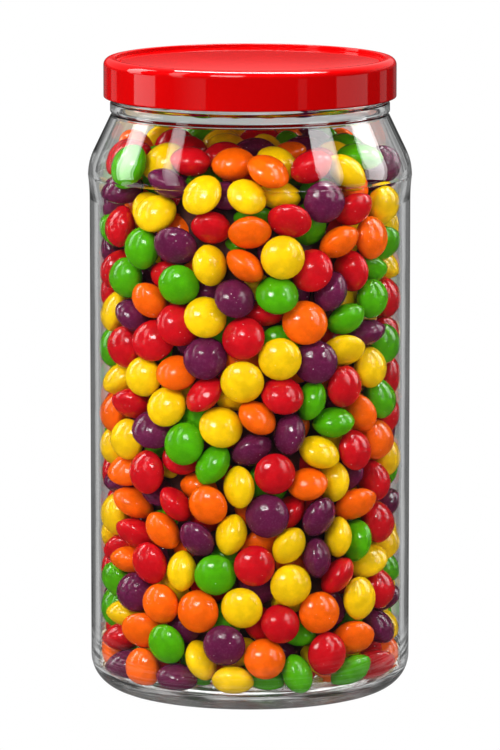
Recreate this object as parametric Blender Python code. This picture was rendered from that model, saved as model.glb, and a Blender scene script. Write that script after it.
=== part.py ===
"""Clear glass jar of sugar-coated, lens-shaped sweets under a red screw lid.

Blender 4.5, metres, +Z up. The origin is the middle of the jar's base, on the surface it stands on.
Three sub-parts, each one solid: the turned glass jar, the turned plastic lid that closes it, and the
heap of sweets, a core with the sweets that show at the glass and on top joined onto it.
"""

import math

import bmesh
import bpy
import numpy as np
from mathutils import Matrix, Vector

# Turned pieces
SEGMENTS = 44
SHARP_ANGLE = math.radians(32)

# Glass jar
BODY_RADIUS = 0.0489
WALL = 0.0024
HEEL_RADIUS = 0.0100
BEARING_WIDTH = 0.0024
PUSH_UP = 0.0012
PUSH_UP_EDGE = 0.0030
FLOOR = 0.0040
FLOOR_RISE = 0.0006
INNER_HEEL_RADIUS = 0.0050
FLARE_START = 0.1510
FLARE_STEPS = ((0.0050, 0.45), (0.0025, 0.12))  # height above its start, share of the widening
INNER_FLARE_START = 0.1550
INNER_BEND_START = math.radians(8)
SHOULDER_HEIGHT = 0.1584
SHOULDER_RADIUS = 0.0494
SHOULDER_BEND = 0.0165
SHOULDER_SLOPE = math.radians(25.5)
NOTCH_HEIGHT = 0.1768
NOTCH_RADIUS = 0.0421
NOTCH_LIP = 0.0008
BEAD_RADIUS = 0.0426
BEAD_TOP = 0.1806
BEAD_ROUNDING = 0.0006
FINISH_RADIUS = 0.0417
BORE_RADIUS = 0.0399
BORE_BOTTOM = 0.1784
NECK_THROAT = 0.0002
RIM_HEIGHT = 0.1904
RIM_ROUNDING = 0.0006

# Screw lid
LID_RADIUS = 0.0446
LID_BOTTOM = 0.1820
LID_TOP = 0.1940
LID_WALL = 0.0020
LID_EDGE_ROUNDING = 0.0022
LID_LOWER_EDGE = 0.0006
LID_RIM_WIDTH = 0.0036
LID_RECESS = 0.0010
LID_RECESS_SLOPE = 0.0008
LID_PANEL_THICKNESS = 0.0020

# Sweets: oblate spheroids, and how they settle in the jar
SWEET_COUNT = 952
SWEET_RADIUS = 0.0065
SWEET_HALF_THICKNESS = 0.0043
RADIUS_SPREAD = 0.03
THICKNESS_SPREAD = 0.06
AXIS_BIAS = (0.9, 0.4, 1.0)  # outwards, around and up: sweets seldom stand on edge
GLASS_GAP = 0.0002
HEAP_TOP = 0.1695
SETTLING_SEED = 11
SETTLING_STEPS = 600
SETTLING_PACE = 0.42
FIRST_SINKING = 0.00002
LAST_SINKING = 0.000002
SINKING_SHARE = 0.6
NEIGHBOUR_REACH = 2.3
NEIGHBOUR_STEPS = 8
FIRST_PASSES = 5
LATER_PASSES = 2
CLOSING_PASSES = 20
BESIDE_REACH = 2.2
LIKE_BESIDE_LIKE = 0.30

# Heap: the core, and the faceted sweets on it
CORE_RADIUS = 0.0433
CORE_BOTTOM = 0.0090
CORE_SHOULDER_TOP = 0.1615
CORE_TOP = 0.1645
CORE_TOP_SLOPE = 0.0040
CORE_HEEL = 0.0060
CORE_SEGMENTS = 16
SHOWN_GAP = 0.0028
SHOWN_TOP_GAP = 0.0002
MOST_SHOWN = 264
SWEET_CORNERS = 5
CORNER_STAGGER = 0.25
FACETED_RADIUS = 1.07
FACETED_RING = 0.45
FACET_GAP = 0.0004

COATS = {
    "red": ((0.58, 0.008, 0.016), 0.325),
    "orange": ((0.95, 0.140, 0.006), 0.190),
    "yellow": ((0.93, 0.560, 0.006), 0.180),
    "green": ((0.065, 0.370, 0.008), 0.165),
    "purple": ((0.120, 0.011, 0.058), 0.140),
}


def clear_scene():
    for old in list(bpy.data.objects):
        bpy.data.objects.remove(old, do_unlink=True)


def make_material(name, colour, roughness, transmission=0.0):
    material = bpy.data.materials.new(name)
    material.use_nodes = True
    material.diffuse_color = (*colour, 1.0)
    shader = material.node_tree.nodes["Principled BSDF"]
    shader.inputs["Base Color"].default_value = (*colour, 1.0)
    shader.inputs["Roughness"].default_value = roughness
    shader.inputs["Metallic"].default_value = 0.0
    shader.inputs["Transmission Weight"].default_value = transmission
    return material


def add_object(name, mesh):
    made = bpy.data.objects.new(name, mesh)
    bpy.context.scene.collection.objects.link(made)
    return made


def arc(centre, radius, start, end, steps):
    """Points (r, z) of an arc, its angles in degrees from the +r direction towards +z."""
    points = []
    for step in range(steps + 1):
        angle = math.radians(start + (end - start) * step / steps)
        points.append((centre[0] + radius * math.cos(angle), centre[1] + radius * math.sin(angle)))
    return points


def turned_mesh(name, profile, segments):
    """A closed solid of revolution. The profile (r, z) starts and ends on the axis."""
    work = bmesh.new()
    verts = [work.verts.new((radius, 0.0, height)) for radius, height in profile]
    edges = [work.edges.new(pair) for pair in zip(verts, verts[1:])]
    bmesh.ops.spin(
        work,
        geom=verts + edges,
        cent=(0.0, 0.0, 0.0),
        axis=(0.0, 0.0, 1.0),
        angle=2.0 * math.pi,
        steps=segments,
        use_merge=True,
    )
    bmesh.ops.remove_doubles(work, verts=work.verts, dist=1e-6)
    bmesh.ops.recalc_face_normals(work, faces=work.faces)
    mesh = bpy.data.meshes.new(name)
    work.to_mesh(mesh)
    work.free()
    mesh.shade_smooth()
    mesh.set_sharp_from_angle(angle=SHARP_ANGLE)
    return mesh


def jar_profile():
    inner_radius = BODY_RADIUS - WALL
    inner_heel_centre = (inner_radius - INNER_HEEL_RADIUS, FLOOR + INNER_HEEL_RADIUS)
    slope = math.degrees(SHOULDER_SLOPE)
    bend_centre = (SHOULDER_RADIUS - SHOULDER_BEND, SHOULDER_HEIGHT)
    inner_bend_radius = SHOULDER_BEND - WALL
    heel_centre = (BODY_RADIUS - HEEL_RADIUS, HEEL_RADIUS)
    bearing_inner = heel_centre[0] - BEARING_WIDTH
    flare = SHOULDER_RADIUS - BODY_RADIUS

    profile = [(0.0, FLOOR + FLOOR_RISE)]
    profile += arc(inner_heel_centre, INNER_HEEL_RADIUS, -90, 0, 3)
    profile.append((inner_radius, INNER_FLARE_START))
    profile += arc(bend_centre, inner_bend_radius, math.degrees(INNER_BEND_START), slope, 2)
    profile.append((BORE_RADIUS + NECK_THROAT, NOTCH_HEIGHT - NOTCH_LIP))
    profile.append((BORE_RADIUS, BORE_BOTTOM))
    profile.append((BORE_RADIUS, RIM_HEIGHT - RIM_ROUNDING))
    profile.append((BORE_RADIUS + RIM_ROUNDING, RIM_HEIGHT))
    profile.append((FINISH_RADIUS - RIM_ROUNDING, RIM_HEIGHT))
    profile.append((FINISH_RADIUS, RIM_HEIGHT - RIM_ROUNDING))
    profile.append((FINISH_RADIUS, BEAD_TOP + BEAD_ROUNDING))
    profile.append((BEAD_RADIUS, BEAD_TOP))
    profile.append((BEAD_RADIUS, NOTCH_HEIGHT + BEAD_ROUNDING))
    profile.append((NOTCH_RADIUS, NOTCH_HEIGHT))
    profile.append((NOTCH_RADIUS + NOTCH_LIP, NOTCH_HEIGHT - NOTCH_LIP))
    profile += arc(bend_centre, SHOULDER_BEND, slope, 0, 3)
    for above, share in FLARE_STEPS:
        profile.append((BODY_RADIUS + share * flare, FLARE_START + above))
    profile.append((BODY_RADIUS, FLARE_START))
    profile += arc(heel_centre, HEEL_RADIUS, 0, -90, 5)
    profile.append((bearing_inner, 0.0))
    profile.append((bearing_inner - PUSH_UP_EDGE, 0.5 * PUSH_UP))
    profile.append((0.0, PUSH_UP))
    return profile


def lid_profile():
    inner_radius = LID_RADIUS - LID_WALL
    panel_height = LID_TOP - LID_RECESS
    rim_inner = LID_RADIUS - LID_RIM_WIDTH
    edge_centre = (LID_RADIUS - LID_EDGE_ROUNDING, LID_TOP - LID_EDGE_ROUNDING)

    profile = [(0.0, panel_height), (rim_inner - LID_RECESS_SLOPE, panel_height)]
    profile.append((rim_inner, LID_TOP))
    profile += arc(edge_centre, LID_EDGE_ROUNDING, 90, 0, 3)
    profile.append((LID_RADIUS, LID_BOTTOM + LID_LOWER_EDGE))
    profile.append((LID_RADIUS - LID_LOWER_EDGE, LID_BOTTOM))
    profile.append((inner_radius, LID_BOTTOM))
    profile.append((inner_radius, panel_height - LID_PANEL_THICKNESS))
    profile.append((0.0, panel_height - LID_PANEL_THICKNESS))
    return profile


def make_jar():
    jar = add_object("jar", turned_mesh("jar", jar_profile(), SEGMENTS))
    jar.data.materials.append(make_material("clear glass", (0.96, 0.98, 0.98), 0.03, 1.0))


def make_lid():
    lid = add_object("lid", turned_mesh("lid", lid_profile(), SEGMENTS))
    lid.data.materials.append(make_material("red plastic", (0.60, 0.0, 0.0), 0.25))


def support(normals, axes, radii, halves):
    """How far spheroids reach along the normals, and the points where they reach furthest."""
    bulge = radii**2 - halves**2
    lean = np.sum(normals * axes, axis=1)
    reach = np.sqrt(radii**2 - bulge * lean**2)
    points = (radii**2)[:, None] * normals - (bulge * lean)[:, None] * axes
    return reach, points / reach[:, None]


def glass_planes():
    """The inside of the jar as planes (normal r, normal z, distance) round the axis."""
    inner_radius = BODY_RADIUS - WALL
    bend_r = SHOULDER_RADIUS - SHOULDER_BEND
    slope_r, slope_z = math.cos(SHOULDER_SLOPE), math.sin(SHOULDER_SLOPE)
    slope_distance = slope_r * bend_r + slope_z * SHOULDER_HEIGHT + SHOULDER_BEND - WALL
    planes = [
        (1.0, 0.0, inner_radius),
        (0.0, -1.0, -FLOOR),
        (0.0, 1.0, HEAP_TOP),
        (slope_r, slope_z, slope_distance),
    ]
    heel_r, heel_z = inner_radius - INNER_HEEL_RADIUS, FLOOR + INNER_HEEL_RADIUS
    for degrees in (22.5, 45.0, 67.5):
        along_r, along_z = math.cos(math.radians(degrees)), -math.sin(math.radians(degrees))
        distance = along_r * heel_r + along_z * heel_z + INNER_HEEL_RADIUS
        planes.append((along_r, along_z, distance))
    return planes


def push_off_glass(centres, axes, radii, halves, planes):
    """Centres and axes after each sweet that crosses a plane is moved and turned back to it."""
    inertia = (radii**2 + halves**2) / 5
    for along_r, along_z, distance in planes:
        outward = centres * (1, 1, 0)
        outward /= np.linalg.norm(outward, axis=1)[:, None] + 1e-9
        normal = outward * along_r + (0, 0, along_z)
        reach, point = support(normal, axes, radii, halves)
        depth = np.maximum(np.sum(normal * centres, axis=1) + reach - distance + GLASS_GAP, 0)
        twist = np.cross(point, normal)
        amount = (depth / (1 + np.sum(twist**2, axis=1) / inertia))[:, None]
        centres = centres - amount * normal
        axes = axes - np.cross(amount * twist / inertia[:, None], axes)
        axes /= np.linalg.norm(axes, axis=1)[:, None]
    return centres, axes


def keep_clear_of_glass(mesh):
    """Moves corners back to where the faceted glass is still the facet gap away."""
    for vert in mesh.vertices:
        for along_r, along_z, distance in glass_planes():
            radius = math.hypot(vert.co.x, vert.co.y)
            depth = along_r * radius + along_z * vert.co.z - distance + FACET_GAP
            if depth > 0:
                vert.co.xy *= (radius - depth * along_r) / radius
                vert.co.z -= depth * along_z


def shown_sweets(centres, axes, radii, halves):
    """The largest of the sweets that lie against the glass or stand out on top of the heap."""
    outward = centres * (1, 1, 0)
    outward /= np.linalg.norm(outward, axis=1)[:, None] + 1e-9
    shown = np.zeros(len(centres), dtype=bool)
    for along_r, along_z, distance in glass_planes():
        normal = outward * along_r + (0, 0, along_z)
        reach, _ = support(normal, axes, radii, halves)
        gap = distance - reach - np.sum(normal * centres, axis=1)
        if along_r > 0:
            shown |= gap < SHOWN_GAP
        elif along_z > 0:
            shown |= gap < SHOWN_TOP_GAP
    largest_first = np.argsort(-(radii**2) * halves)
    return [index for index in largest_first if shown[index]][:MOST_SHOWN]


def touching_pairs(centres, axes, radii, halves, first, second, normals, passes):
    """Overlap, direction and touching points of each pair, the direction improved by passes."""
    between = centres[second] - centres[first]
    for turn in range(passes + 1):
        reach_a, point_a = support(normals, axes[first], radii[first], halves[first])
        reach_b, point_b = support(normals, axes[second], radii[second], halves[second])
        if turn == passes:
            break
        offset = between - point_a - point_b
        offset -= np.sum(offset * normals, axis=1)[:, None] * normals
        normals = normals + offset / (2 * SWEET_RADIUS)
        normals /= np.linalg.norm(normals, axis=1)[:, None]
    overlap = reach_a + reach_b - np.sum(normals * between, axis=1)
    return overlap, normals, point_a, -point_b


def settle_sweets():
    """Centres, short axes, radii and half thicknesses of the sweets as they lie in the jar.

    They start spread evenly through the jar. Each step moves and turns apart those that overlap
    one another or the glass, while all of them sink a little.
    """
    rng = np.random.default_rng(SETTLING_SEED)
    count = SWEET_COUNT
    radii = SWEET_RADIUS * (1 + RADIUS_SPREAD * rng.standard_normal(count).clip(-2, 2))
    halves = SWEET_HALF_THICKNESS * (1 + THICKNESS_SPREAD * rng.standard_normal(count).clip(-2, 2))
    inertia = (radii**2 + halves**2) / 5
    spread = (BODY_RADIUS - WALL - SWEET_RADIUS) * np.sqrt(rng.random(count))
    turn = 2 * np.pi * rng.random(count)
    height = FLOOR + SWEET_RADIUS + (HEAP_TOP - FLOOR - 2 * SWEET_RADIUS) * rng.random(count)
    centres = np.stack([spread * np.cos(turn), spread * np.sin(turn), height], axis=1)
    outward, around, up = (rng.standard_normal((count, 3)) * AXIS_BIAS).T
    along_x = outward * np.cos(turn) - around * np.sin(turn)
    along_y = outward * np.sin(turn) + around * np.cos(turn)
    axes = np.stack([along_x, along_y, up], axis=1)
    axes /= np.linalg.norm(axes, axis=1)[:, None]
    planes = glass_planes()
    for step in range(SETTLING_STEPS):
        fading = max(0.0, 1 - step / (SINKING_SHARE * SETTLING_STEPS))
        centres[:, 2] -= FIRST_SINKING * fading + LAST_SINKING
        passes = LATER_PASSES
        if step % NEIGHBOUR_STEPS == 0:
            apart = np.linalg.norm(centres[:, None, :] - centres[None, :, :], axis=2)
            first, second = np.where(np.triu(apart < NEIGHBOUR_REACH * SWEET_RADIUS, 1))
            normals = (centres[second] - centres[first]) / apart[first, second][:, None]
            passes = FIRST_PASSES
        pairs = touching_pairs(centres, axes, radii, halves, first, second, normals, passes)
        overlap, normals, point_a, point_b = pairs
        touching = overlap > 0
        a, b, push = first[touching], second[touching], normals[touching]
        twist_a = np.cross(point_a[touching], push)
        twist_b = np.cross(point_b[touching], push)
        give_a = 1 + np.sum(twist_a**2, axis=1) / inertia[a]
        give_b = 1 + np.sum(twist_b**2, axis=1) / inertia[b]
        amount = (SETTLING_PACE * overlap[touching] / (give_a + give_b))[:, None]
        shift = np.zeros_like(centres)
        spin = np.zeros_like(centres)
        for column in range(3):
            shift[:, column] += np.bincount(b, (amount * push)[:, column], count)
            shift[:, column] -= np.bincount(a, (amount * push)[:, column], count)
            spin[:, column] += np.bincount(b, (amount * twist_b)[:, column] / inertia[b], count)
            spin[:, column] -= np.bincount(a, (amount * twist_a)[:, column] / inertia[a], count)
        centres += shift
        axes += np.cross(spin, axes)
        axes /= np.linalg.norm(axes, axis=1)[:, None]
        centres, axes = push_off_glass(centres, axes, radii, halves, planes)
        centres = np.round(centres, 7)
        axes = np.round(axes, 6)
    for _ in range(CLOSING_PASSES):
        centres, axes = push_off_glass(centres, axes, radii, halves, planes)
    return centres, axes, radii, halves


def mix_colours(centres):
    """A coat for each sweet by the coats' shares, each unlike the sweets right beside it."""
    rng = np.random.default_rng(SETTLING_SEED + 1)
    names = list(COATS)
    shares = np.array([share for _, share in COATS.values()])
    coats = np.full(len(centres), -1)
    for index in rng.permutation(len(centres)):
        apart = np.linalg.norm(centres - centres[index], axis=1)
        beside = coats[(apart < BESIDE_REACH * SWEET_RADIUS) & (coats >= 0)]
        crowding = np.bincount(beside, minlength=len(names))
        chance = shares * LIKE_BESIDE_LIKE**crowding
        coats[index] = rng.choice(len(names), p=chance / chance.sum())
    return coats


def sweet_mesh(name, radius, half_thickness):
    """A sweet with few sides: two staggered rings of corners between two poles."""
    work = bmesh.new()
    for side in (1, -1):
        work.verts.new((0.0, 0.0, side * half_thickness))
        for corner in range(SWEET_CORNERS):
            angle = 2.0 * math.pi * (corner + CORNER_STAGGER * side) / SWEET_CORNERS
            along_x = FACETED_RADIUS * radius * math.cos(angle)
            along_y = FACETED_RADIUS * radius * math.sin(angle)
            work.verts.new((along_x, along_y, side * FACETED_RING * half_thickness))
    bmesh.ops.convex_hull(work, input=work.verts)
    mesh = bpy.data.meshes.new(name)
    work.to_mesh(mesh)
    work.free()
    return mesh


def core_mesh():
    shoulder_radius = CORE_RADIUS - (CORE_SHOULDER_TOP - SHOULDER_HEIGHT) * math.tan(SHOULDER_SLOPE)
    profile = [
        (0.0, CORE_TOP),
        (shoulder_radius - CORE_TOP_SLOPE, CORE_TOP),
        (shoulder_radius, CORE_SHOULDER_TOP),
        (CORE_RADIUS, SHOULDER_HEIGHT),
        (CORE_RADIUS, CORE_BOTTOM + CORE_HEEL),
        (CORE_RADIUS - CORE_HEEL, CORE_BOTTOM),
        (0.0, CORE_BOTTOM),
    ]
    return turned_mesh("sweets", profile, CORE_SEGMENTS)


def keep_largest_body(mesh):
    """Removes what isn't joined to the largest connected body of the mesh."""
    work = bmesh.new()
    work.from_mesh(mesh)
    unseen = set(work.verts)
    bodies = []
    while unseen:
        body = []
        reached = [unseen.pop()]
        while reached:
            vert = reached.pop()
            body.append(vert)
            for edge in vert.link_edges:
                other = edge.other_vert(vert)
                if other in unseen:
                    unseen.remove(other)
                    reached.append(other)
        bodies.append(body)
    bodies.sort(key=len)
    scraps = [vert for body in bodies[:-1] for vert in body]
    bmesh.ops.delete(work, geom=scraps, context="VERTS")
    work.to_mesh(mesh)
    work.free()


def make_heap():
    coat_materials = []
    for name, (colour, _) in COATS.items():
        coat_materials.append(make_material(name + " coat", colour, 0.22))
    heap = add_object("sweets", core_mesh())
    heap.data.materials.append(make_material("shade between the sweets", (0.20, 0.03, 0.01), 0.6))
    for material in coat_materials:
        heap.data.materials.append(material)

    centres, axes, radii, halves = settle_sweets()
    coats = mix_colours(centres)
    loose = bpy.data.collections.new("loose sweets")
    bpy.context.scene.collection.children.link(loose)
    for index in shown_sweets(centres, axes, radii, halves):
        name = f"sweet_{index}"
        sweet = bpy.data.objects.new(name, sweet_mesh(name, radii[index], halves[index]))
        turn = Vector(axes[index]).to_track_quat("Z", "Y").to_matrix().to_4x4()
        sweet.data.transform(Matrix.Translation(centres[index]) @ turn)
        keep_clear_of_glass(sweet.data)
        sweet.data.materials.append(coat_materials[coats[index]])
        loose.objects.link(sweet)

    union = heap.modifiers.new("join the sweets", "BOOLEAN")
    union.operation = "UNION"
    union.operand_type = "COLLECTION"
    union.collection = loose
    union.solver = "MANIFOLD"
    joined = bpy.data.meshes.new_from_object(heap.evaluated_get(bpy.context.evaluated_depsgraph_get()))
    heap.modifiers.clear()
    keep_largest_body(joined)
    heap.data = joined
    for sweet in list(loose.objects):
        bpy.data.objects.remove(sweet, do_unlink=True)
    bpy.data.collections.remove(loose)


def main():
    clear_scene()
    make_jar()
    make_lid()
    make_heap()


main()
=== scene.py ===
"""Clear glass jar of sugar-coated, lens-shaped sweets under a red screw lid, with its stage.

Blender 4.5, metres, +Z up. Run as a script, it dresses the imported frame: turned glass with a
thread under the lid, a moulded lid, and the sweets as they lie in the jar, in five coats round
a dark core.
"""

import math

import bmesh
import bpy
import numpy as np
from mathutils import Matrix, Vector


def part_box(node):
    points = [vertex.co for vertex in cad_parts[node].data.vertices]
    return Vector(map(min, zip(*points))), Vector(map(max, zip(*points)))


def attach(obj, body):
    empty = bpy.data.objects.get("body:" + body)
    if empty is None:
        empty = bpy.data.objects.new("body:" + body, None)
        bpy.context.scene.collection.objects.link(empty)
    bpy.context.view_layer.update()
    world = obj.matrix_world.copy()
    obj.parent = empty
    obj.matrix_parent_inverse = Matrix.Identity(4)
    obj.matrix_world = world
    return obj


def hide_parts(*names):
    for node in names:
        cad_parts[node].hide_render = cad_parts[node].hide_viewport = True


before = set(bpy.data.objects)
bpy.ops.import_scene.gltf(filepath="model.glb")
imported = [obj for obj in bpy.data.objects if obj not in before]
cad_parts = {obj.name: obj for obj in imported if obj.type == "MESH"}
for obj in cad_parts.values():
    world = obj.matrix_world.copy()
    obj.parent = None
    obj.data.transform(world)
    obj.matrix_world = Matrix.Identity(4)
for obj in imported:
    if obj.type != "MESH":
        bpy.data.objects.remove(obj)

bl_info = {
    "name": "Jar of Coated Sweets",
    "version": (1, 0, 0),
    "blender": (4, 5, 0),
    "location": "3D View > Sidebar > Sweets",
    "description": "A screw-lidded glass jar filled with lens-shaped sugar-coated sweets",
    "category": "Add Mesh",
}

BODY = "root"
JAR_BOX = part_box("jar")
LID_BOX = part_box("lid")
HEAP_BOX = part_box("sweets")
LIT_SHELL = "glass and lid under the side boxes"
LIT_GLASS = "glass under the right boxes"
LIT_LID = "lid under its key"
COATS = ("red", "orange", "yellow", "green", "purple")
# For each coat: the bloom's colour and amount, how strong its pale flecks are, which are in part
# painted glints, and its dimples.
BLOOMS = {
    "red": ((0.75, 0.07, 0.09), 0.07, 0.9, 0.8),
    "orange": ((1.0, 0.30, 0.02), 0.06, 0.6, 0.4),
    "yellow": ((1.0, 0.75, 0.03), 0.08, 0.3, 0.25),
    "green": ((0.25, 0.60, 0.02), 0.08, 0.5, 0.35),
    "purple": ((0.35, 0.12, 0.24), 0.12, 1.0, 1.1),
}
# Decimals that sizes in metres are rounded to, which gives them the solids' numbers again.
MICRON = 6
WHITE = (1.0, 1.0, 1.0, 1.0)
# A grey of the stage that counts as dark.
DARK = 0.02
# Sections: heights where the straight body has a ring, and roundings of the mouth, bead and ridge.
BODY_RINGS = (0.050, 0.100)
RIM_ROUNDING = 0.0009
BEAD_ROUNDING = 0.0006
THROAT_ROUNDING = 0.0040
RIDGE_ROUNDING = 0.00010
# How far the throat's bend lies over the neck's groove, and the arc of the hollow under the
# base: how far its centre lies inwards and down, and its radius.
THROAT_LIFT = 0.0016
HOLLOW_INWARDS = 0.0040
HOLLOW_DOWN = 0.0030
HOLLOW_ROUNDING = 0.0050
# The thread's rings on the neck, from below the rim to above the bead.
THREAD_RINGS = 12
RINGS_BELOW_RIM = 0.0020
RINGS_ABOVE_BEAD = 0.0014
# The thread starts this far under the rim, runs for so many turns, and fades out over a share of
# one at each end.
THREAD_DROP = 0.0034
THREAD_TURNS = 1.35
THREAD_END = 0.08
THREAD_HALF_WIDTH = 0.0011
# The lid's fillets, the dome and groove of its panel, and the crisp bend of its rim.
LID_FILLET = 0.0004
PANEL_DOME = 0.0003
PANEL_GROOVE = 0.0003
PANEL_MARGIN = 0.0019
CRISP_BEND = 0.0002
# The core: its rounding, how far it ends from the heap's bottom and top, and how much of the
# depth of drawn sweets it leaves free at the sides.
CORE_ROUNDING = 0.008
CORE_BELOW = 0.0075
CORE_ABOVE = 0.0125
CORE_SHARE = 0.55
CORE_BUMPS = 0.03
# The settling: steps between two searches for neighbours, how near they are in radii, and the
# last pushes back off the glass.
SEARCH_EVERY = 8
NEAR = 2.3
LAST_PUSHES = 20
# How near sweets count as beside one another, in radii, and what one of the same coat there
# leaves of a coat's chance.
BESIDE = 2.2
SAME_COAT = 0.30
# What the lights face, and the direction from which the backdrop lights the sweets most.
LIGHT_TARGET = (0.0, 0.0, 0.16)
BRIGHTEST_SIDE = (-0.62, -0.42, 0.66)
BOX_DISTANCE = 0.95
KEY_DISTANCE = 1.30
CARD_DISTANCE = 0.85
CARD_ELEVATION = -4.2
CARD_HEIGHT = 0.055


def length(name, description, default):
    """A property that holds a size in metres."""
    return bpy.props.FloatProperty(
        name=name, description=description, default=default, unit="LENGTH", precision=5, min=0.0
    )


def angle(name, description, degrees):
    return bpy.props.FloatProperty(
        name=name, description=description, default=math.radians(degrees), subtype="ANGLE"
    )


def colour(name, description, default):
    return bpy.props.FloatVectorProperty(
        name=name, description=description, default=default, subtype="COLOR", min=0.0, max=1.0
    )


def factor(name, description, default):
    return bpy.props.FloatProperty(
        name=name, description=description, default=default, subtype="FACTOR", min=0.0, max=1.0
    )


def whole(name, description, default):
    return bpy.props.IntProperty(name=name, description=description, default=default, min=1)


class JarSettings(bpy.types.PropertyGroup):
    body_radius: length("Body Radius", "Outside of the straight body", 0.0489)
    wall: length("Wall", "Thickness of the glass", 0.0024)
    heel_radius: length("Heel Radius", "Rounding outside, between body and base", 0.0100)
    bearing_width: length("Bearing Width", "Width of the flat ring that the jar stands on", 0.0024)
    push_up: length("Push-up", "Height of the hollow under the base", 0.0012)
    floor: length("Floor", "Height of the floor inside", 0.0040)
    floor_rise: length("Floor Rise", "How far the floor rises in the middle", 0.0006)
    inner_heel_radius: length("Inner Heel Radius", "Rounding inside, at the floor", 0.0050)
    flare_start: length("Flare Start", "Height where the body starts to widen", 0.1510)
    shoulder_height: length("Shoulder Height", "Height of the widest ring", 0.1584)
    shoulder_radius: length("Shoulder Radius", "Radius of the widest ring", JAR_BOX[1][0])
    shoulder_bend: length("Shoulder Bend", "Radius of the bend above the widest ring", 0.0165)
    shoulder_slope: angle("Shoulder Slope", "Lean of the straight shoulder", 25.5)
    notch_height: length("Notch Height", "Height of the groove under the neck bead", 0.1768)
    notch_radius: length("Notch Radius", "Radius in that groove", 0.0421)
    bead_radius: length("Bead Radius", "Radius of the neck bead", 0.0426)
    bead_top: length("Bead Top", "Top of the neck bead", 0.1806)
    finish_radius: length("Finish Radius", "Radius of the neck under the lid", 0.0417)
    bore_radius: length("Bore Radius", "Radius inside the mouth", 0.0399)
    rim_height: length("Rim Height", "Top of the mouth's rim", JAR_BOX[1][2])
    thread_depth: length("Thread Depth", "How far the thread stands out", 0.0007)
    thread_pitch: length("Thread Pitch", "Rise of the thread in one turn", 0.0042)
    tint: colour("Glass Tint", "Colour of the glass", (0.985, 0.995, 0.99))
    segments: whole("Segments", "Sides of the turned glass", 192)


class LidSettings(bpy.types.PropertyGroup):
    radius: length("Lid Radius", "Outside of the lid", LID_BOX[1][0])
    bottom: length("Lid Bottom", "Height of the lid's lower edge", LID_BOX[0][2])
    top: length("Lid Top", "Height of the lid's rim", LID_BOX[1][2])
    wall: length("Lid Wall", "Thickness of the skirt", 0.0020)
    edge_rounding: length("Edge Rounding", "Rounding of the top outer edge", 0.0022)
    rim_width: length("Rim Width", "Width of the raised rim, its rounding included", 0.0036)
    recess: length("Recess", "Depth of the panel below the rim", 0.0010)
    panel: length("Panel", "Thickness of the panel", 0.0020)
    colour: colour("Lid Colour", "Colour of the moulded plastic", (0.420, 0.0006, 0.0010))
    segments: whole("Segments", "Sides of the turned lid", 192)


class SweetSettings(bpy.types.PropertyGroup):
    count: whole("Count", "Sweets in the jar", 952)
    radius: length("Radius", "Half the width of a sweet", 0.0065)
    half_thickness: length("Half Thickness", "Half the thickness of a sweet", 0.0043)
    radius_spread: factor("Radius Spread", "How much the widths differ", 0.03)
    thickness_spread: factor("Thickness Spread", "How much the thicknesses differ", 0.06)
    glass_gap: length("Glass Gap", "Space left to the glass", 0.0002)
    heap_top: length("Heap Top", "Highest that a sweet reaches", 0.1695)
    outward_bias: factor("Outward Bias", "How much short axes start out pointing outwards", 0.9)
    around_bias: factor("Around Bias", "How much short axes start out pointing around", 0.4)
    up_bias: factor("Up Bias", "How much short axes start out pointing up", 1.0)
    seed: whole("Seed", "Chooses how the sweets lie", 11)
    steps: whole("Steps", "Steps of settling", 600)
    pace: factor("Pace", "Share of an overlap that one step clears", 0.42)
    first_sinking: length("First Sinking", "Sinking in the first step", 0.00002)
    last_sinking: length("Last Sinking", "Sinking in the last step", 0.000002)
    shell_depth: length("Shell Depth", "Sweets deeper than this are left to the core", 0.0210)
    lens: factor("Lens", "How far the faces are domed towards a lens", 0.20)
    unevenness: length("Unevenness", "Depth of the dents in a sweet", 0.00022)
    segments: whole("Segments", "Sides of a sweet", 24)
    rings: whole("Rings", "Bands of a sweet", 14)
    red: colour("Red", "Red sugar coat", (0.540, 0.0030, 0.0080))
    orange: colour("Orange", "Orange sugar coat", (0.930, 0.120, 0.0008))
    yellow: colour("Yellow", "Yellow sugar coat", (0.920, 0.560, 0.0010))
    green: colour("Green", "Green sugar coat", (0.068, 0.355, 0.0012))
    purple: colour("Purple", "Purple sugar coat", (0.110, 0.0080, 0.0450))
    red_share: factor("Red Share", "Share of red sweets", 0.325)
    orange_share: factor("Orange Share", "Share of orange sweets", 0.190)
    yellow_share: factor("Yellow Share", "Share of yellow sweets", 0.180)
    green_share: factor("Green Share", "Share of green sweets", 0.165)
    purple_share: factor("Purple Share", "Share of purple sweets", 0.140)


class StageSettings(bpy.types.PropertyGroup):
    camera_distance: length("Camera Distance", "From the jar's axis to the camera", 1.82)
    camera_height: length("Camera Height", "Height of the camera", 0.376)
    camera_pitch: angle("Camera Pitch", "How far the camera looks down", 8.74)
    focal_length: bpy.props.FloatProperty(
        name="Focal Length", description="Focal length in millimetres", default=288.4
    )
    floor_size: length("Floor Size", "Width of the floor", 6.0)


def to_object(name, mesh):
    made = bpy.data.objects.new(name, mesh)
    bpy.context.scene.collection.objects.link(made)
    return made


def finish_piece(piece, node, slot_name, *lit_as):
    """Attaches a piece to its body, hides the part of the frame named by the node, and adds it to
    the pieces that some lights keep to. The slot name is not used.
    """
    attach(piece, BODY)
    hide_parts(node)
    for name in lit_as:
        bpy.data.collections[name].objects.link(piece)


def arc(centre, radius, start, end, steps):
    """Points (r, z) of an arc, its angles in degrees from the +r direction towards +z."""
    points = []
    for step in range(steps + 1):
        turn = math.radians(start + (end - start) * step / steps)
        points.append((centre[0] + radius * math.cos(turn), centre[1] + radius * math.sin(turn)))
    return points


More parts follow.
